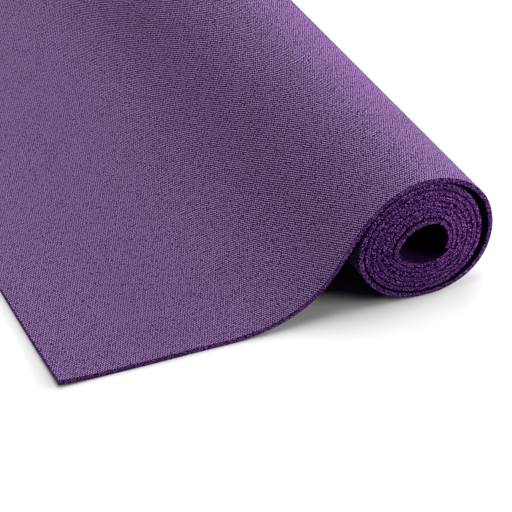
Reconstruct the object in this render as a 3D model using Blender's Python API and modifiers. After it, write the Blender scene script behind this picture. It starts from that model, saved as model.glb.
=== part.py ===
"""A yoga mat, part unrolled: the free end lies flat and the rest is wound up.

The mat is one long sheet of three bonded layers: a foam layer on each face and
a woven scrim between them that stops the foam from stretching. All three follow
one path, seen from the side: flat on the floor, up in a smooth lift, over the
top of the roll, and round and round into its hollow core.

Units are metres. X runs along the mat from its free edge towards the roll, Y
along the roll, and Z is up. The origin is on the floor, under the middle.
"""

import math

import bmesh
import bpy
from mathutils import Vector

# The sheet
MAT_LENGTH = 1.85
MAT_WIDTH = 0.66
FOAM_THICKNESS = 0.0016
SCRIM_THICKNESS = 0.0004
BOND_GAP = 0.0001
MAT_THICKNESS = 2 * (FOAM_THICKNESS + BOND_GAP) + SCRIM_THICKNESS

# Where the sheet leaves the floor and where the roll lies, from the free edge
FLAT_LENGTH = 0.117
ROLL_CENTRE_RUN = 0.2744
LIFT_OFF_SHARE = 0.32
TOUCH_DOWN_SHARE = 0.62

# The roll: an even spiral, drawn slightly to an oval and to an egg by its weight
CORE_RADIUS = 0.0166
TURN_GAP = 0.0003
TURN_PITCH = MAT_THICKNESS + TURN_GAP
OVAL = 0.0019
EGG = 0.0009
EGG_TOWARDS = math.radians(71)
DEPARTURE = math.radians(130.5)

# Slack turns, by the angle wound since the inner end or still to wind
INNER_SLACK = 0.0018
INNER_SLACK_FROM = math.radians(36)
INNER_SLACK_TO = math.radians(261)
CRESCENT = 0.0040
CRESCENT_OPENS = (math.radians(47), math.radians(110))
CRESCENT_SHUTS = (math.radians(129), math.radians(233))
LOOSE_TURNS = 0.0007
LOOSE_FROM = math.radians(668)
LOOSE_TO = math.radians(128)

# Low on the roll, every turn but the outermost hangs a little clear of it
SET_IN = 0.0009
SET_IN_FROM = math.radians(70)
SET_IN_TO = math.radians(350)

# How finely the path is drawn
FULL_TURN = 2 * math.pi
STATIONS_PER_TURN = 40
LIFT_STATIONS = 12
STATION_STEP = FULL_TURN / STATIONS_PER_TURN
SLOPE_STEP = STATION_STEP / 20
MOST_TURNS = 40

# Colours and surface, as red, green, blue and roughness
TOP_FOAM_FINISH = (0.156, 0.088, 0.220, 0.72)
BOTTOM_FOAM_FINISH = (0.118, 0.058, 0.178, 0.78)
SCRIM_FINISH = (0.210, 0.130, 0.290, 0.85)


def clear_scene():
    for obj in list(bpy.data.objects):
        bpy.data.objects.remove(obj, do_unlink=True)


def swell(angle, start, end):
    """Rises from 0 at start to 1 half way and falls to 0 at end, with no kink."""
    share = min(max((angle - start) / (end - start), 0), 1)
    return math.sin(math.pi * share) ** 2


def ease(angle, start, end):
    """Rises from 0 at start to 1 at end, with no kink."""
    share = min(max((angle - start) / (end - start), 0), 1)
    return share * share * (3 - 2 * share)


def facing(wound, total):
    """The direction that the sheet's outer face looks in, wound so far of the total."""
    return DEPARTURE - (total - wound)


def reach(wound, total):
    """How far the sheet's middle lies from the roll's centre, square to the sheet.

    Turns that differ by one pitch here are parallel, so the gap between them
    stays even however oval the roll is.
    """
    turns = wound / FULL_TURN
    look = facing(wound, total)
    left = total - wound
    distance = CORE_RADIUS + MAT_THICKNESS / 2 + TURN_PITCH * turns
    distance += OVAL * math.cos(2 * look)
    distance += EGG * math.cos(3 * (look - EGG_TOWARDS))
    distance -= INNER_SLACK * swell(wound, INNER_SLACK_FROM, INNER_SLACK_TO)
    distance += CRESCENT * ease(left, *CRESCENT_OPENS) * (1 - ease(left, *CRESCENT_SHUTS))
    distance += LOOSE_TURNS * (1 - ease(left, LOOSE_TO, LOOSE_FROM))
    if left > FULL_TURN:
        distance -= SET_IN * swell(left % FULL_TURN, SET_IN_FROM, SET_IN_TO)
    return distance


def roll_point(wound, total, out=0):
    """A point of the wound sheet about the roll's centre, moved out along its normal."""
    look = facing(wound, total)
    slope = reach(wound + SLOPE_STEP, total) - reach(wound - SLOPE_STEP, total)
    slope /= 2 * SLOPE_STEP
    distance = reach(wound, total) + out
    across = distance * math.cos(look) - slope * math.sin(look)
    up = distance * math.sin(look) + slope * math.cos(look)
    return Vector((across, 0, up))


def roll_stations(total):
    """Angles from the inner end to the departure, the same on every turn."""
    steps = round(total / STATION_STEP)
    return [0.0] + [total - STATION_STEP * step for step in range(steps - 1, -1, -1)]


def roll_centre(total):
    """The roll rests on the floor, so its height follows from its lowest turn."""
    corner = MAT_THICKNESS / 2 / math.cos(STATION_STEP / 2)
    last_turn = [angle for angle in roll_stations(total) if total - angle <= FULL_TURN]
    lowest = min(roll_point(angle, total, corner).z for angle in last_turn)
    return Vector((ROLL_CENTRE_RUN, 0, -lowest))


def lift_points(leaves, total):
    """The free stretch from the roll down to the floor, as one Bezier curve."""
    look = facing(total, total)
    along = Vector((-math.sin(look), 0, math.cos(look)))
    lands = Vector((FLAT_LENGTH, 0, MAT_THICKNESS / 2))
    span = (lands - leaves).length
    pull_up = leaves + along * span * LIFT_OFF_SHARE
    pull_down = lands + Vector((span * TOUCH_DOWN_SHARE, 0, 0))
    points = []
    for station in range(1, LIFT_STATIONS + 1):
        share = station / LIFT_STATIONS
        rest = 1 - share
        point = leaves * rest**3 + pull_up * (3 * rest * rest * share)
        point += pull_down * (3 * rest * share * share) + lands * share**3
        points.append(point)
    return points


def sheet_path(total):
    """The sheet's middle line, from the inner end in the core to the free edge."""
    centre = roll_centre(total)
    path = [centre + roll_point(angle, total) for angle in roll_stations(total)]
    path += lift_points(path[-1], total)
    path.append(Vector((0, 0, MAT_THICKNESS / 2)))
    return path


def path_length(path):
    return sum((end - start).length for start, end in zip(path, path[1:]))


def winding_for_length():
    """The angle to wind so that the whole path uses up the mat's length."""
    low = STATION_STEP
    high = MOST_TURNS * FULL_TURN
    while high - low > SLOPE_STEP / 1000:
        middle = (low + high) / 2
        if path_length(sheet_path(middle)) < MAT_LENGTH:
            low = middle
        else:
            high = middle
    return low


def least_turn_gap(total):
    """The smallest free space between one turn and the next, square to the sheet."""
    starts = [angle for angle in roll_stations(total) if total - angle >= FULL_TURN]
    return min(
        reach(angle + FULL_TURN, total) - reach(angle, total) - MAT_THICKNESS
        for angle in starts
    )


def foam_material(name, finish):
    material = bpy.data.materials.new(name)
    material.use_nodes = True
    shader = material.node_tree.nodes["Principled BSDF"]
    shader.inputs["Base Color"].default_value = (*finish[:3], 1)
    shader.inputs["Roughness"].default_value = finish[3]
    shader.inputs["Metallic"].default_value = 0
    material.diffuse_color = (*finish[:3], 1)
    return material


def ribbon_mesh(name, path):
    """An open surface: the path drawn as edges and extruded across the mat's width."""
    shape = bmesh.new()
    near = [shape.verts.new(point - Vector((0, MAT_WIDTH / 2, 0))) for point in path]
    edges = [shape.edges.new(pair) for pair in zip(near, near[1:])]
    swept = bmesh.ops.extrude_edge_only(shape, edges=edges)["geom"]
    far = [item for item in swept if isinstance(item, bmesh.types.BMVert)]
    bmesh.ops.translate(shape, verts=far, vec=(0, MAT_WIDTH, 0))
    bmesh.ops.recalc_face_normals(shape, faces=shape.faces)
    flat = max(shape.faces, key=lambda face: face.calc_area())
    if flat.normal.z < 0:
        bmesh.ops.reverse_faces(shape, faces=shape.faces)
    mesh = bpy.data.meshes.new(name)
    shape.to_mesh(mesh)
    shape.free()
    return mesh


def add_layer(name, path, inner_face, thickness, finish, parent, collection):
    """One layer of the sheet, from inner_face outwards, measured from its middle."""
    mesh = ribbon_mesh(name, path)
    mesh.materials.append(foam_material(name, finish))
    layer = bpy.data.objects.new(name, mesh)
    layer.parent = parent
    collection.objects.link(layer)
    shell = layer.modifiers.new("thickness", "SOLIDIFY")
    shell.thickness = thickness
    shell.offset = 1 + 2 * inner_face / thickness
    shell.use_even_offset = True
    shell.use_rim = True
    mesh.shade_smooth()
    mesh.set_sharp_from_angle(angle=2 * STATION_STEP)
    return layer


def build():
    clear_scene()
    collection = bpy.data.collections.new("yoga_mat")
    bpy.context.scene.collection.children.link(collection)

    total = winding_for_length()
    path = sheet_path(total)
    foot_run = max(point.x for point in path) + MAT_THICKNESS / 2

    frame = bpy.data.objects.new("mat_frame", None)
    frame.location = (-foot_run / 2, 0, 0)
    collection.objects.link(frame)

    scrim_face = SCRIM_THICKNESS / 2
    foam_face = scrim_face + BOND_GAP
    add_layer("top_foam_layer", path, foam_face, FOAM_THICKNESS, TOP_FOAM_FINISH, frame, collection)
    add_layer("reinforcing_scrim", path, -scrim_face, SCRIM_THICKNESS, SCRIM_FINISH, frame, collection)
    bottom_face = -foam_face - FOAM_THICKNESS
    add_layer("bottom_foam_layer", path, bottom_face, FOAM_THICKNESS, BOTTOM_FOAM_FINISH, frame, collection)

    print(f"mat: {path_length(path):.4f} m long, {MAT_WIDTH} m wide, {MAT_THICKNESS * 1000:.2f} mm thick")
    print(f"roll: {total / FULL_TURN:.2f} turns, least gap {least_turn_gap(total) * 1000:.3f} mm")
    print(f"inner end faces {math.degrees(facing(0, total)) % 360:.1f} degrees, foot {foot_run * 1000:.1f} mm")


build()
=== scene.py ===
# %% [markdown]
# # A yoga mat, part unrolled
#
# The object is one long foam sheet. Its free end lies flat on the floor, then the
# sheet lifts in a smooth curve over the top of the roll and winds round and round
# into a hollow core. We start from the construction model, which fixes where
# everything is. Nothing in it is moved: it tells us where the free edge lies, and
# its three plain layers are replaced by finely modelled ones.

# %% Load the frame
import math

import bmesh
import bpy
import numpy as np
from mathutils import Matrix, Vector


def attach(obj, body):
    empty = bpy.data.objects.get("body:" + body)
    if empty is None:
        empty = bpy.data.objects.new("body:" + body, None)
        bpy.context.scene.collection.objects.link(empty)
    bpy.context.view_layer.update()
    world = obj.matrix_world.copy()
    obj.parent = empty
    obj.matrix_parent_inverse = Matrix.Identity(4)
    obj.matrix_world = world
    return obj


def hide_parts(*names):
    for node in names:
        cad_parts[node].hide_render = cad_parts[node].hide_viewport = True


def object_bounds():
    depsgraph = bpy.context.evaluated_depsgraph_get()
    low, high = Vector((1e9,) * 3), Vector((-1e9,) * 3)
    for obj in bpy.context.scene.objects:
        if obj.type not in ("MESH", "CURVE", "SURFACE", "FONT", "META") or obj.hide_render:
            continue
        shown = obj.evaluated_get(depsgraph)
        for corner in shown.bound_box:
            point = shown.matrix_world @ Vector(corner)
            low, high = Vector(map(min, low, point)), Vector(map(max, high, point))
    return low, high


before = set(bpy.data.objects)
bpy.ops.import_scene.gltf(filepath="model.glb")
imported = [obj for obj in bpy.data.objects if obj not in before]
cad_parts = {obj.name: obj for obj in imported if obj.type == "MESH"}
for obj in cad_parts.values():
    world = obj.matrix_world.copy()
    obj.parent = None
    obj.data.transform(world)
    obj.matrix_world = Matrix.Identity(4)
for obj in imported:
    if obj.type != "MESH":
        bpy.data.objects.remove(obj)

frame_low, frame_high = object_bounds()
print("nodes:", sorted(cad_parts))
print("box of the frame, mm:", [round(1000 * size, 1) for size in frame_high - frame_low])

# %% [markdown]
# ## The camera
#
# The camera comes first, because the photograph's frame crops the mat and every
# later choice is judged inside that crop. A camera can be placed by eye, or worked
# out from straight edges whose directions we know. Here the free edge, the long
# cut edge and the roll's outline gave its height, its turn and its long lens. Its
# place is kept as a distance from the mat's near corner on the floor.

# %% Set the camera
CAMERA_HEIGHT_ANGLE = math.radians(33.24)
CAMERA_TURN = math.radians(23.66)
CAMERA_FROM_CORNER = (-0.36025, -1.15412, 0.89403)
CAMERA_LENS = 155.74
CAMERA_SENSOR = 36.0

mat_corner = (frame_low.x, frame_low.y, frame_low.z)
camera_data = bpy.data.cameras.new("camera")
camera_data.lens = CAMERA_LENS
camera_data.sensor_width = CAMERA_SENSOR
camera = bpy.data.objects.new("camera", camera_data)
camera.location = [corner + away for corner, away in zip(mat_corner, CAMERA_FROM_CORNER)]
camera.rotation_euler = (math.pi / 2 - CAMERA_HEIGHT_ANGLE, 0, -CAMERA_TURN)
bpy.context.scene.collection.objects.link(camera)
bpy.context.scene.camera = camera
print("camera at", [round(place, 3) for place in camera.location])

# %% [markdown]
# ## The line that the sheet follows
#
# Seen from the side, the whole mat is one line. It could be found by simulating a
# bending sheet, but a roll of eight turns that press on each other takes long and
# comes out a little different on every computer. It could be drawn by hand, but
# then the gap between turns would wander. So the line is worked out.
#
# For the roll we say how far the sheet's middle lies from the roll's centre,
# measured square to the sheet, for every direction that it faces in. That is called
# a support distance. Two turns whose support distances differ by one pitch are
# parallel everywhere, however oval the roll has sagged. These are the same sizes
# as in the construction model, with many more points.

# %% Sizes of the sheet and of the roll
MAT_LENGTH = 1.85
MAT_WIDTH = 0.66
MAT_THICKNESS = 0.0038
SCRIM_THICKNESS = 0.0004
FOAM_THICKNESS = (MAT_THICKNESS - SCRIM_THICKNESS) / 2

FLAT_LENGTH = 0.117
ROLL_CENTRE_RUN = 0.2744
LIFT_OFF_SHARE = 0.32
TOUCH_DOWN_SHARE = 0.62

CORE_RADIUS = 0.0166
TURN_PITCH = MAT_THICKNESS + 0.0003
OVAL = 0.0019
EGG = 0.0009
EGG_TOWARDS = math.radians(71)
DEPARTURE = math.radians(130.5)

INNER_SLACK = 0.0018
INNER_SLACK_RANGE = (math.radians(36), math.radians(261))
CRESCENT = 0.0040
CRESCENT_OPENS = (math.radians(47), math.radians(110))
CRESCENT_SHUTS = (math.radians(129), math.radians(233))
LOOSE_TURNS = 0.0007
LOOSE_RANGE = (math.radians(128), math.radians(668))
SET_IN = 0.0009
SET_IN_RANGE = (math.radians(70), math.radians(350))

FULL_TURN = 2 * math.pi
WOUND_STEP = math.radians(1.5)
SLOPE_STEP = WOUND_STEP / 4
LIFT_POINTS = 120
FLAT_POINTS = 30


# %% How far the wound sheet lies from the centre
def swell(angle, start, end):
    """Rises from 0 to 1 half way and falls to 0 again, with no kink."""
    share = np.clip((angle - start) / (end - start), 0, 1)
    return np.sin(math.pi * share) ** 2


def ease(angle, start, end):
    """Rises from 0 to 1, with no kink."""
    share = np.clip((angle - start) / (end - start), 0, 1)
    return share * share * (3 - 2 * share)


def reach(wound, total):
    turns = wound / FULL_TURN
    left = total - wound
    look = DEPARTURE - left
    distance = CORE_RADIUS + MAT_THICKNESS / 2 + TURN_PITCH * turns
    distance = distance + OVAL * np.cos(2 * look)
    distance = distance + EGG * np.cos(3 * (look - EGG_TOWARDS))
    distance = distance - INNER_SLACK * swell(wound, *INNER_SLACK_RANGE)
    distance = distance + CRESCENT * ease(left, *CRESCENT_OPENS) * (1 - ease(left, *CRESCENT_SHUTS))
    distance = distance + LOOSE_TURNS * (1 - ease(left, *LOOSE_RANGE))
    inside = left > FULL_TURN
    return distance - SET_IN * inside * swell(left % FULL_TURN, *SET_IN_RANGE)


def wound_line(wound, total):
    """Points of the wound sheet about the roll's centre, as (across, up)."""
    look = DEPARTURE - (total - wound)
    distance = reach(wound, total)
    slope = (reach(wound + SLOPE_STEP, total) - reach(wound - SLOPE_STEP, total)) / (2 * SLOPE_STEP)
    across = distance * np.cos(look) - slope * np.sin(look)
    up = distance * np.sin(look) + slope * np.cos(look)
    return np.column_stack((across, up))


# %% The whole line, from the free edge to the inner end
def lift_line(lands, leaves):
    """One Bezier curve from the floor up to where the sheet meets the roll."""
    along = np.array((-math.sin(DEPARTURE), math.cos(DEPARTURE)))
    span = np.linalg.norm(leaves - lands)
    pull_down = lands + np.array((span * TOUCH_DOWN_SHARE, 0))
    pull_up = leaves + along * span * LIFT_OFF_SHARE
    share = np.linspace(0, 1, LIFT_POINTS + 1)[:, None]
    rest = 1 - share
    curve = lands * rest**3 + pull_down * (3 * rest * rest * share)
    return curve + pull_up * (3 * rest * share * share) + leaves * share**3


def wound_steps(total):
    """Angles from where the sheet leaves the roll to its inner end."""
    return np.append(np.arange(total, 0, -WOUND_STEP), 0.0)


def sheet_line(total):
    lowest = total - (DEPARTURE + math.pi / 2)
    centre = np.array((ROLL_CENTRE_RUN, reach(lowest, total) + MAT_THICKNESS / 2))
    roll = centre + wound_line(wound_steps(total), total)
    lands = np.array((FLAT_LENGTH, MAT_THICKNESS / 2))
    flat = np.column_stack((np.linspace(0, FLAT_LENGTH, FLAT_POINTS), np.full(FLAT_POINTS, lands[1])))
    return np.concatenate((flat, lift_line(lands, roll[0])[1:], roll[1:]))


def line_length(line):
    return float(np.linalg.norm(np.diff(line, axis=0), axis=1).sum())


# %% Wind until the mat's length is used up
MOST_TURNS = 20
WOUND_PRECISION = 1e-6

low, high = FULL_TURN, MOST_TURNS * FULL_TURN
while high - low > WOUND_PRECISION:
    middle = (low + high) / 2
    if line_length(sheet_line(middle)) < MAT_LENGTH:
        low = middle
    else:
        high = middle

total_wound = low
mat_line = sheet_line(total_wound)
mat_line[:, 0] += frame_low.x
print(f"{total_wound / FULL_TURN:.2f} turns, {line_length(mat_line):.4f} m of sheet")


# %% Draw the line as a curve
def guide_curve(name, line):
    data = bpy.data.curves.new(name, "CURVE")
    data.dimensions = "3D"
    data.twist_mode = "MINIMUM"
    spline = data.splines.new("POLY")
    spline.points.add(len(line) - 1)
    for point, (across, up) in zip(spline.points, line):
        point.co = (across, 0, up, 1)
    guide = bpy.data.objects.new(name, data)
    bpy.context.scene.collection.objects.link(guide)
    return guide


guide = guide_curve("mat_line", mat_line)
print(f"guide: {len(guide.data.splines[0].points)} points")

# %% [markdown]
# ## Cut the sheet flat, then roll it
#
# A real mat is foamed and laminated flat, cut to size, and only then rolled up. The
# model is made in the same order. Each layer starts as a flat grid of the mat's true
# length and width, gets its thickness from Solidify, and has its cut edges rounded
# a little where the knife pressed the foam down. Then a Curve modifier winds it
# along the line. It keeps the thickness and every length along the sheet, and the
# texture map, made while the sheet is flat, stays true to size on the roll.

# %% Helpers for operators
def select_only(thing):
    bpy.ops.object.select_all(action="DESELECT")
    thing.select_set(True)
    bpy.context.view_layer.objects.active = thing


def apply_modifier(thing, modifier):
    select_only(thing)
    bpy.ops.object.modifier_apply(modifier=modifier.name)


# %% Cut a flat grid of the mat's size
ALONG_STEP = 0.0016
ACROSS_STEP = 0.055
MATERIALS_PER_LAYER = 2


def flat_grid(name, height):
    """A grid of the mat's size at that height, with its free edge at zero."""
    bpy.ops.object.select_all(action="DESELECT")
    along, across = round(MAT_LENGTH / ALONG_STEP), round(MAT_WIDTH / ACROSS_STEP)
    bpy.ops.mesh.primitive_grid_add(x_subdivisions=along, y_subdivisions=across, size=1)
    layer = bpy.context.object
    layer.name = layer.data.name = name
    bpy.ops.object.mode_set(mode="EDIT")
    bpy.ops.mesh.select_all(action="SELECT")
    bpy.ops.transform.resize(value=(MAT_LENGTH, MAT_WIDTH, 1))
    bpy.ops.transform.translate(value=(MAT_LENGTH / 2, 0, height))
    bpy.ops.object.mode_set(mode="OBJECT")
    layer.data.uv_layers[0].name = "cut_sheet"
    for _ in range(MATERIALS_PER_LAYER):
        layer.data.materials.append(None)
    return layer


# %% Give it thickness and round its cut edges
EDGE_ROUNDING = 0.00022
EDGE_SEGMENTS = 3
CORNER_ANGLE = math.radians(60)
SAME_HEIGHT = 1e-5


def thicken(layer, thickness, downwards=False):
    """Gives the sheet its thickness. Its cut edges take the second material."""
    if downwards:
        select_only(layer)
        bpy.ops.object.mode_set(mode="EDIT")
        bpy.ops.mesh.select_all(action="SELECT")
        bpy.ops.mesh.flip_normals()
        bpy.ops.object.mode_set(mode="OBJECT")
    shell = layer.modifiers.new("thickness", "SOLIDIFY")
    shell.thickness = thickness
    shell.offset = 1
    shell.material_offset = 1
    shell.material_offset_rim = 1
    apply_modifier(layer, shell)


def round_cut_edges(layer, height):
    """Rounds the edges where the face at that height meets the cut."""
    select_only(layer)
    bpy.ops.object.mode_set(mode="EDIT")
    bpy.ops.mesh.select_all(action="DESELECT")
    shape = bmesh.from_edit_mesh(layer.data)
    for edge in shape.edges:
        on_face = all(abs(vert.co.z - height) < SAME_HEIGHT for vert in edge.verts)
        if on_face and edge.calc_face_angle(0) > CORNER_ANGLE:
            edge.select_set(True)
    bmesh.update_edit_mesh(layer.data)
    bpy.ops.mesh.bevel(offset=EDGE_ROUNDING, segments=EDGE_SEGMENTS, affect="EDGES", material=1)
    bpy.ops.object.mode_set(mode="OBJECT")


def keep_depth(layer):
    """Keeps each point's distance from the sheet's middle, for the material of the cut."""
    depth = layer.data.attributes.new("from_middle", "FLOAT", "POINT")
    depth.data.foreach_set("value", [abs(vert.co.z) for vert in layer.data.vertices])


# %% [markdown]
# No one winds a mat dead straight. On this one each turn stands out a little further
# than the turn round it, so the roll's end is a very flat cone with its core nearest
# to us. That is why the seams show on the lower right, where we look at their open
# side, and close up on the upper left. Winding also shears the sheet a little, so
# that its cut leans outwards from half a turn on, and the right side catches more
# light. Each turn creeps a tenth or two of a millimetre in or out as well. Sideways
# shifts of the flat sheet, along it and through its thickness, give all three. The
# near corner, which was on the outside of the roll before, still curls up by a
# millimetre or two. All three layers are shifted alike, because they are bonded.

# %% Shift and curl the flat sheet
STAND_OUT = 0.00043
CUT_LEAN = 0.12
LEAN_GROWS = 0.5
CREEP = 0.0002
CREEP_WAVES = ((0.231, 0.4), (0.117, 2.1), (0.071, 4.4))
CURL = 0.0021
CURL_ALONG = 0.042
CURL_ACROSS = 0.055

line_run = np.append(0, np.cumsum(np.linalg.norm(np.diff(mat_line, axis=0), axis=1)))
turns_passed = (total_wound - wound_steps(total_wound)) / FULL_TURN
line_turns = np.append(np.zeros(len(mat_line) - len(turns_passed)), turns_passed)
print(f"the core stands out by {1000 * STAND_OUT * line_turns[-1]:.1f} mm")


def creep_and_curl(layer):
    points = np.empty(len(layer.data.vertices) * 3)
    layer.data.vertices.foreach_get("co", points)
    points = points.reshape(-1, 3)
    along, across = points[:, 0], points[:, 1] + MAT_WIDTH / 2
    curl = np.clip(1 - along / CURL_ALONG, 0, 1) ** 2 * np.clip(1 - across / CURL_ACROSS, 0, 1)
    points[:, 2] += CURL * curl
    turns = np.interp(along, line_run, line_turns)
    lean = CUT_LEAN * np.clip(turns / LEAN_GROWS, 0, 1)
    points[:, 1] += lean * points[:, 2] - STAND_OUT * turns
    for wave, start in CREEP_WAVES:
        points[:, 1] += CREEP / 2 * np.sin(along / wave * FULL_TURN + start)
    layer.data.vertices.foreach_set("co", points.ravel())


# %% Wind it along the line
CRISP_ANGLE = math.radians(40)


def wind(layer):
    """Winds the flat layer along the guide, then shades it with crisp cut edges."""
    creep_and_curl(layer)
    winding = layer.modifiers.new("winding", "CURVE")
    winding.object = guide
    winding.deform_axis = "POS_X"
    apply_modifier(layer, winding)
    bpy.ops.object.shade_smooth_by_angle(angle=CRISP_ANGLE)
    weighting = layer.modifiers.new("even shading", "WEIGHTED_NORMAL")
    weighting.keep_sharp = True
    apply_modifier(layer, weighting)


# %% Make the three layers
def make_layer(name, inner_height, thickness, downwards=False):
    layer = flat_grid(name, inner_height)
    thicken(layer, thickness, downwards)
    outer_height = inner_height - thickness if downwards else inner_height + thickness
    if thickness > SCRIM_THICKNESS:
        round_cut_edges(layer, outer_height)
    keep_depth(layer)
    wind(layer)
    layer.data.calc_loop_triangles()
    print(f"{name}: {len(layer.data.loop_triangles)} triangles")
    return layer


top_foam = make_layer("top_foam", SCRIM_THICKNESS / 2, FOAM_THICKNESS)
scrim = make_layer("scrim", -SCRIM_THICKNESS / 2, SCRIM_THICKNESS)
bottom_foam = make_layer("bottom_foam", -SCRIM_THICKNESS / 2, FOAM_THICKNESS, downwards=True)
bpy.data.objects.remove(guide)


# %% [markdown]
# ## Node helpers
#
# Materials here are small trees of nodes. A few short helpers keep each one
# readable. The first two add a node with its inputs joined and do sums. The others
# scale a colour, step smoothly between two levels, run a colour ramp, raise the
# surface by a height, and start a material.

# %% Helpers for materials
def add_node(tree, kind, inputs=None, **settings):
    node = tree.nodes.new(kind)
    for name, value in settings.items():
        setattr(node, name, value)
    for key, value in (inputs or {}).items():
        if isinstance(value, bpy.types.NodeSocket):
            tree.links.new(value, node.inputs[key])
        else:
            node.inputs[key].default_value = value
    return node


def maths(tree, operation, first, second=0.0, third=0.0):
    return add_node(tree, "ShaderNodeMath", {0: first, 1: second, 2: third}, operation=operation).outputs[0]


def scaled(tree, vector, scale):
    return add_node(tree, "ShaderNodeVectorMath", {0: vector, "Scale": scale}, operation="SCALE").outputs[0]


def smooth_step(tree, value, start, end, first=0.0, last=1.0):
    """Goes from first to last, with no kink, as the value goes from start to end."""
    levels = {"Value": value, "From Min": start, "From Max": end, "To Min": first, "To Max": last}
    return add_node(tree, "ShaderNodeMapRange", levels, interpolation_type="SMOOTHSTEP").outputs[0]


def ramp(tree, share, stops):
    """Colours between the stops, in rising order, each a place from 0 to 1 and a colour."""
    node = add_node(tree, "ShaderNodeValToRGB", {"Fac": share})
    elements = node.color_ramp.elements
    for place, _ in stops[1:-1]:
        elements.new(place)
    for element, (place, colour) in zip(elements, stops):
        element.position = place
        element.color = (*colour, 1)
    return node.outputs["Color"]


def raise_surface(tree, shader, height, depth, strength=1.0):
    """Shades a relief in which a height of 1 stands that depth, in metres, above 0."""
    bump = add_node(tree, "ShaderNodeBump", {"Height": height, "Strength": strength, "Distance": depth})
    tree.links.new(bump.outputs["Normal"], shader.inputs["Normal"])


def new_material(name):
    """A material with only an output and a Principled shader."""
    material = bpy.data.materials.new(name)
    material.use_nodes = True
    tree = material.node_tree
    return material, tree, tree.nodes["Principled BSDF"]


# %% [markdown]
# ## The embossed face
#
# The top face is pressed by a patterned roller while the foam is warm. Its texture
# looks like a plain weave: rows of small raised pads, each row half a pad out of
# step with the next, and a little pit between each pad and its neighbour. A picture
# of the texture would need a file and would blur close up. Real geometry would need
# a third of a million pits. So it is worked out from the map of the flat sheet, in
# metres. Two slanting waves that cross, one a little stronger than the other, leave
# the staggered pads between them. The pits are painted near black and the pads pale,
# painted shade and painted light that stand for the relief's own shading. A noise
# about as fine as the pads makes some paler and some darker, painted light for pads
# that catch the light unlike their neighbours.

# %% Relief of the weave
PAD_ALONG = 0.00182
PAD_ACROSS = 0.00392
RISING_EXCESS = 0.10
WAVE_HEIGHT = 0.25
DRIFT_SCALE = 240.0
DRIFT = 0.0011


def flat_place(tree):
    """The place on the flat sheet, in metres along and across."""
    sheet_map = add_node(tree, "ShaderNodeUVMap", uv_map="cut_sheet")
    to_metres = {"Vector": sheet_map.outputs["UV"], "Scale": (MAT_LENGTH, MAT_WIDTH, 1)}
    return add_node(tree, "ShaderNodeMapping", to_metres).outputs["Vector"]


def weave_relief(tree, place):
    """Heights from 0 in the pits to 1 on the pads."""
    noise = add_node(tree, "ShaderNodeTexNoise", {"Vector": place, "Scale": DRIFT_SCALE, "Detail": 1.0})
    drift = scaled(tree, noise.outputs["Color"], DRIFT)
    drifted = add_node(tree, "ShaderNodeVectorMath", {0: place, 1: drift}, operation="ADD")
    axes = add_node(tree, "ShaderNodeSeparateXYZ", {"Vector": drifted.outputs[0]})
    along = maths(tree, "MULTIPLY", axes.outputs["X"], FULL_TURN / PAD_ALONG)
    across = maths(tree, "MULTIPLY", axes.outputs["Y"], FULL_TURN / PAD_ACROSS)
    falling = maths(tree, "COSINE", maths(tree, "SUBTRACT", along, across))
    rising = maths(tree, "COSINE", maths(tree, "ADD", along, across))
    weave = maths(tree, "MULTIPLY_ADD", falling, WAVE_HEIGHT * (1 - RISING_EXCESS), 0.5)
    return maths(tree, "MULTIPLY_ADD", rising, -WAVE_HEIGHT * (1 + RISING_EXCESS), weave)


# %% Material of an embossed foam face
PIT_ENDS = 0.41
PAD_STARTS = 0.60
UNEVEN_SCALE = 0.95
UNEVEN = 1.5
PIT_STOP = 0.46
PAD_STOP = 0.98
CLOUD_SCALE = 14.0
CLOUD = 0.16
GRAIN_SCALE = 2600.0
GRAIN = 0.18
PAD_POLISH = 0.12
SKIN_SPECULAR = 0.07


def pad_shade(tree, place):
    """A painted shade that differs from pad to pad, above or below zero, for pads that catch the light
    unlike their neighbours.
    """
    pad_scale = (2 / PAD_ALONG, 2 / PAD_ACROSS, 1)
    pads = add_node(tree, "ShaderNodeMapping", {"Vector": place, "Scale": pad_scale})
    noise_range = {"Vector": pads.outputs["Vector"], "Scale": UNEVEN_SCALE, "Detail": 0.0}
    noise = add_node(tree, "ShaderNodeTexNoise", noise_range, noise_dimensions="2D")
    return maths(tree, "MULTIPLY_ADD", noise.outputs["Fac"], UNEVEN, -UNEVEN / 2)


def embossed_foam(name, pit, pad, roughness, relief_depth):
    """Foam skin with the weave, between its pit colour, painted shade, and its pad colour, painted light.
    """
    material, tree, shader = new_material(name)
    place = flat_place(tree)
    relief = weave_relief(tree, place)
    step = smooth_step(tree, relief, PIT_ENDS, PAD_STARTS)
    shade = maths(tree, "ADD", step, pad_shade(tree, place))
    base = ramp(tree, shade, [(PIT_STOP, pit), (PAD_STOP, pad)])
    cloud = add_node(tree, "ShaderNodeTexNoise", {"Vector": place, "Scale": CLOUD_SCALE, "Detail": 3.0})
    light = maths(tree, "MULTIPLY_ADD", cloud.outputs["Fac"], CLOUD, 1 - CLOUD / 2)
    tree.links.new(scaled(tree, base, light), shader.inputs["Base Color"])
    rough = maths(tree, "MULTIPLY_ADD", step, -PAD_POLISH, roughness)
    tree.links.new(rough, shader.inputs["Roughness"])
    grain = add_node(tree, "ShaderNodeTexNoise", {"Vector": place, "Scale": GRAIN_SCALE, "Detail": 2.0})
    height = maths(tree, "MULTIPLY_ADD", grain.outputs["Fac"], GRAIN, relief)
    raise_surface(tree, shader, height, relief_depth)
    shader.inputs["Specular IOR Level"].default_value = SKIN_SPECULAR
    print(f"{name}: {len(tree.nodes)} nodes")
    return material


# %% The two faces of the mat
# Pit colours near black are painted shade in the pits; pad colours are paler, painted light on the pad
# tops.
TOP_PIT_SHADE_PAD_LIGHT = ((0.004, 0.0004, 0.014), (0.442, 0.240, 0.596))
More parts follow.
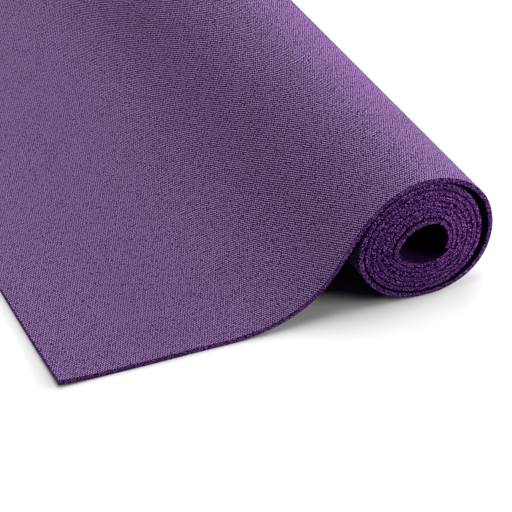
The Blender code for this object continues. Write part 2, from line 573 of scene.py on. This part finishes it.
# The under face is painted much darker than the top, painted shade for the dark core and the space under
# the lifted sheet.
UNDER_PAINTED_SHADE_COLOURS = ((0.004, 0.0005, 0.014), (0.066, 0.014, 0.120))

top_face = embossed_foam("embossed_top_face", *TOP_PIT_SHADE_PAD_LIGHT, roughness=0.72, relief_depth=0.00060)
under_face = embossed_foam("embossed_under_face", *UNDER_PAINTED_SHADE_COLOURS, roughness=0.90, relief_depth=0.00030)

# %% [markdown]
# ## The cut foam
#
# Where the sheet is cut, the knife opens thousands of tiny bubbles. The cut is a
# deeper, more saturated purple than the pressed skin. Each bubble is painted dark
# inside, painted shade in its hollow, and light on the thin walls that stand between
# them, painted light. A Voronoi texture splits space into just such cells, and
# because it reads the place in space and not a map of the surface, it runs on round
# every edge. A noise as fine as the cells is added to it, so that some bubbles are
# deeper than others and take more painted shade.
#
# The cut is also painted darker in a thin band along both faces, painted shade in
# the seams between turns and along the floor. Where that band runs can't be told
# from the place in space once the sheet is wound, so each point kept its distance
# from the sheet's middle.

# %% Material of the cut edges
CELL_SCALE = 1250.0
CELL_SHARE = 0.5
CELL_DEPTH = 0.0003
SPECK_SCALE = 1300.0
SPECK_LEVEL = 0.10
SPECK_GAIN = 3.2
CUT_STOPS = (0.12, 0.56, 1.0)
# The cut is painted darker towards both faces, painted shade for the seams between turns and along the
# floor.
SEAM_SHADE_STARTS = 0.0013
SEAM_SHADE_LEVEL = 0.15
CUT_ROUGHNESS = 0.95
WALL_POLISH = 0.15
CUT_SPECULAR = 0.03


def cut_foam(name, hollow_shade, body, lit_wall):
    """Opened bubbles in three colours, with painted shade in their hollows and along both faces."""
    material, tree, shader = new_material(name)
    place = add_node(tree, "ShaderNodeTexCoord").outputs["Object"]
    cells = add_node(tree, "ShaderNodeTexVoronoi", {"Vector": place, "Scale": CELL_SCALE})
    specks = add_node(tree, "ShaderNodeTexNoise", {"Vector": place, "Scale": SPECK_SCALE, "Detail": 0.0})
    speckled = maths(tree, "MULTIPLY_ADD", specks.outputs["Fac"], SPECK_GAIN, SPECK_LEVEL - SPECK_GAIN / 2)
    mixed = maths(tree, "MULTIPLY_ADD", cells.outputs["Distance"], CELL_SHARE, speckled)
    cut = ramp(tree, mixed, list(zip(CUT_STOPS, (hollow_shade, body, lit_wall))))
    depth = add_node(tree, "ShaderNodeAttribute", attribute_name="from_middle").outputs["Fac"]
    seam_shade = smooth_step(tree, depth, SEAM_SHADE_STARTS, MAT_THICKNESS / 2, 1.0, SEAM_SHADE_LEVEL)
    tree.links.new(scaled(tree, cut, seam_shade), shader.inputs["Base Color"])
    raise_surface(tree, shader, mixed, CELL_DEPTH)
    rough = maths(tree, "MULTIPLY_ADD", specks.outputs["Fac"], -WALL_POLISH, CUT_ROUGHNESS)
    tree.links.new(rough, shader.inputs["Roughness"])
    shader.inputs["Specular IOR Level"].default_value = CUT_SPECULAR
    print(f"{name}: {len(tree.nodes)} nodes")
    return material


# Painted shade in the bubbles' hollows, the foam's purple, and painted light on the walls between them.
BUBBLE_SHADE = (0.013, 0.0006, 0.058)
FOAM_PURPLE = (0.100, 0.0068, 0.285)
WALL_HIGHLIGHT = (0.820, 0.290, 1.000)
cut_face = cut_foam("cut_foam", BUBBLE_SHADE, FOAM_PURPLE, WALL_HIGHLIGHT)

# %% [markdown]
# ## The scrim
#
# Between the foam layers lies an open woven polyester cloth, dyed like the foam. It
# stops the mat from stretching. It could be left out, since the foam hides all of it
# but the cut ends of its yarns, a hair's breadth half way down the edge. But the
# layer is a piece of the mat, so it gets a cloth of its own: two rows of sine waves
# on the map of the flat sheet stand for the yarns.

# %% Material of the scrim
YARN_PITCH = 0.0011
YARN_DEPTH = 0.0001
YARN_BUMP = 0.8
YARN_ROUGHNESS = 0.7
YARN_DARK = (0.020, 0.004, 0.036)
YARN_LIGHT = (0.115, 0.034, 0.180)


def yarn_cloth(name):
    material, tree, shader = new_material(name)
    axes = add_node(tree, "ShaderNodeSeparateXYZ", {"Vector": flat_place(tree)})
    along = maths(tree, "SINE", maths(tree, "MULTIPLY", axes.outputs["X"], FULL_TURN / YARN_PITCH))
    across = maths(tree, "SINE", maths(tree, "MULTIPLY", axes.outputs["Y"], FULL_TURN / YARN_PITCH))
    yarn = maths(tree, "MULTIPLY_ADD", maths(tree, "MAXIMUM", along, across), 0.5, 0.5)
    colour = ramp(tree, yarn, [(0.0, YARN_DARK), (1.0, YARN_LIGHT)])
    tree.links.new(colour, shader.inputs["Base Color"])
    raise_surface(tree, shader, yarn, YARN_DEPTH, YARN_BUMP)
    shader.inputs["Roughness"].default_value = YARN_ROUGHNESS
    print(f"{name}: {len(tree.nodes)} nodes")
    return material


scrim_cloth = yarn_cloth("scrim_cloth")

# %% Put the materials on
for layer, materials in (
    (top_foam, (top_face, cut_face)),
    (scrim, (scrim_cloth, scrim_cloth)),
    (bottom_foam, (under_face, cut_face)),
):
    for place, material in enumerate(materials):
        layer.data.materials[place] = material
    counts = np.bincount([face.material_index for face in layer.data.polygons])
    print(layer.name, "faces by material:", counts.tolist())

# %% [markdown]
# ## Floor and light
#
# The photograph is a studio one: a white floor with no horizon and soft shadows.
# Where the light came from was worked out by rendering the mat under one lamp at a
# time and finding the mix that shades the sheet and the floor as in the photograph.
# A large lamp overhead and three behind keep the shadow short and on our side. A low
# lamp on the right, the strongest, brightens the roll's far side. Two weak ones on
# the left lift the free end, and one in front keeps the cut ends readable.
#
# The floor looks white to the camera and keeps the mat's shadow, but passes on only a
# little light, so that the space under the lifted sheet stays nearly black. Past the
# lamps' reach it would turn grey, so there it fades into an even white.

# %% Floor
FLOOR_SIZE = 6.0
FLOOR_COLOUR = 0.20
FLOOR_SEEN = 1.0
FADE_STARTS = 0.50
FADE_ENDS = 0.95
WHITE = (1, 1, 1, 1)


def studio_floor():
    bpy.ops.object.select_all(action="DESELECT")
    bpy.ops.mesh.primitive_plane_add(size=FLOOR_SIZE, location=(0, 0, 0))
    floor = bpy.context.object
    floor.name = "floor"
    material, tree, shader = new_material("studio_floor")
    seen = add_node(tree, "ShaderNodeLightPath").outputs["Is Camera Ray"]
    white = maths(tree, "MULTIPLY_ADD", seen, FLOOR_SEEN - FLOOR_COLOUR, FLOOR_COLOUR)
    place = add_node(tree, "ShaderNodeTexCoord").outputs["Object"]
    away = add_node(tree, "ShaderNodeVectorMath", {0: place}, operation="LENGTH").outputs["Value"]
    fade = smooth_step(tree, away, FADE_STARTS, FADE_ENDS)
    glow = maths(tree, "MULTIPLY", seen, fade)
    tree.links.new(maths(tree, "SUBTRACT", white, glow), shader.inputs["Base Color"])
    tree.links.new(glow, shader.inputs["Emission Strength"])
    shader.inputs["Emission Color"].default_value = WHITE
    shader.inputs["Roughness"].default_value = 1.0
    shader.inputs["Specular IOR Level"].default_value = 0.0
    floor.data.materials.append(material)
    print(f"floor: {FLOOR_SIZE} m square")


studio_floor()

# %% Lamps
LIT_PLACE = Vector((0.11, -0.2, 0.05))
LAMP_DISTANCE = 1.8
OVERHEAD_SIZE = 1.2
LAMP_SIZE = 0.9
LAMPS = (
    ("overhead_lamp", (0, 0, 1), OVERHEAD_SIZE, 13.6),
    ("back_lamp", (0, 0.58, 1), LAMP_SIZE, 7.0),
    ("back_right_lamp", (0.7, 0.7, 1), LAMP_SIZE, 7.0),
    ("low_back_lamp", (0, 1, 0.27), LAMP_SIZE, 9.5),
    ("low_right_lamp", (1, 0, 0.27), LAMP_SIZE, 41.0),
    ("left_lamp", (-1, 0, 1), LAMP_SIZE, 4.2),
    ("low_left_lamp", (-1, 0, 0.27), LAMP_SIZE, 4.0),
    ("front_lamp", (0.7, -0.7, 0.47), LAMP_SIZE, 13.0),
)


def soft_lamp(name, direction, size, power):
    """A square lamp in that direction from the roll, facing it."""
    data = bpy.data.lights.new(name, "AREA")
    data.shape = "SQUARE"
    data.size = size
    data.energy = power
    lamp = bpy.data.objects.new(name, data)
    towards = Vector(direction).normalized()
    lamp.location = LIT_PLACE + towards * LAMP_DISTANCE
    lamp.rotation_euler = towards.to_track_quat("Z", "Y").to_euler()
    bpy.context.scene.collection.objects.link(lamp)
    print(f"{name}: {power} W, {size} m across, at", [round(place, 2) for place in lamp.location])


for lamp in LAMPS:
    soft_lamp(*lamp)

# %% Surroundings
world = bpy.data.worlds.new("studio")
bpy.context.scene.world = world
world.use_nodes = True
sky = world.node_tree
seen = add_node(sky, "ShaderNodeLightPath").outputs
clear = maths(sky, "MAXIMUM", seen["Is Camera Ray"], seen["Is Transmission Ray"])
sky.nodes["Background"].inputs["Color"].default_value = WHITE
sky.links.new(clear, sky.nodes["Background"].inputs["Strength"])

bpy.context.scene.view_settings.view_transform = "Standard"
print("view transform:", bpy.context.scene.view_settings.view_transform)

# %% [markdown]
# ## Tie the pieces to the frame
#
# Each fine layer rides on the mat's one body and stands for the plain layer of the
# construction model, which is hidden.

# %% Attach and hide
for layer, node, slot in (
    (top_foam, "top_foam_layer", "top_foam"),
    (scrim, "reinforcing_scrim", "scrim"),
    (bottom_foam, "bottom_foam_layer", "bottom_foam"),
):
    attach(layer, "root")
    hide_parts(node)
